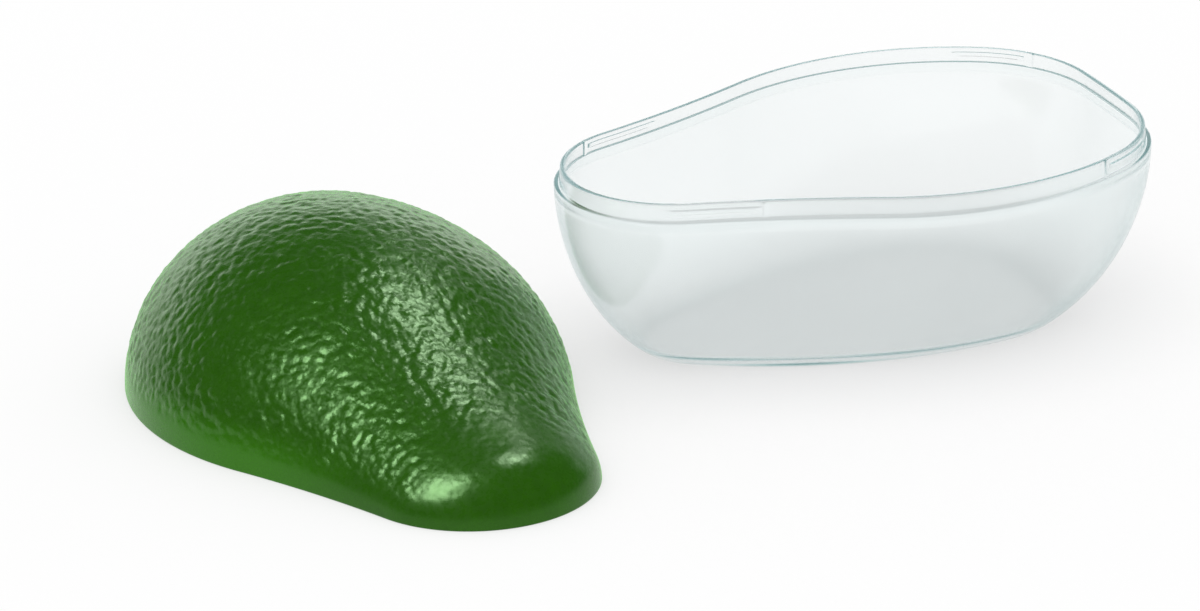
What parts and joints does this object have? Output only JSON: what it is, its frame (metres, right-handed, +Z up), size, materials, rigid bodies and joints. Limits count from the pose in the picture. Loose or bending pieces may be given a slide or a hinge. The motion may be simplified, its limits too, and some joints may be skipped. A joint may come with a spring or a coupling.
{
  "type": "avocado saver",
  "caption": "Keeper for half an avocado: a clear flat-footed bowl with a snap lip, and an opaque domed lid with a pebbled skin that stands beside it.",
  "frame": {"origin": "on the foot's face, below the middle of the ledge's length, on the bowl's plane of symmetry", "axes": "+Z up out of the bowl, +X towards the bowl's wide end, the lid beside the narrow end at -X"},
  "size_m": [0.2482, 0.1455, 0.0467],
  "materials": {
    "clear_plastic": "clear and polished",
    "green_plastic": "glossy with a fine pebbled skin"
  },
  "bodies": {
    "bowl": {"bowl": "clear_plastic"},
    "lid": {"lid": "green_plastic"}
  },
  "joints": [
    {"name": "lid_lift", "type": "slide", "parent": "bowl", "child": "lid", "axis": [0, 0, 1], "range_m": [0, 0.1]}
  ]
}
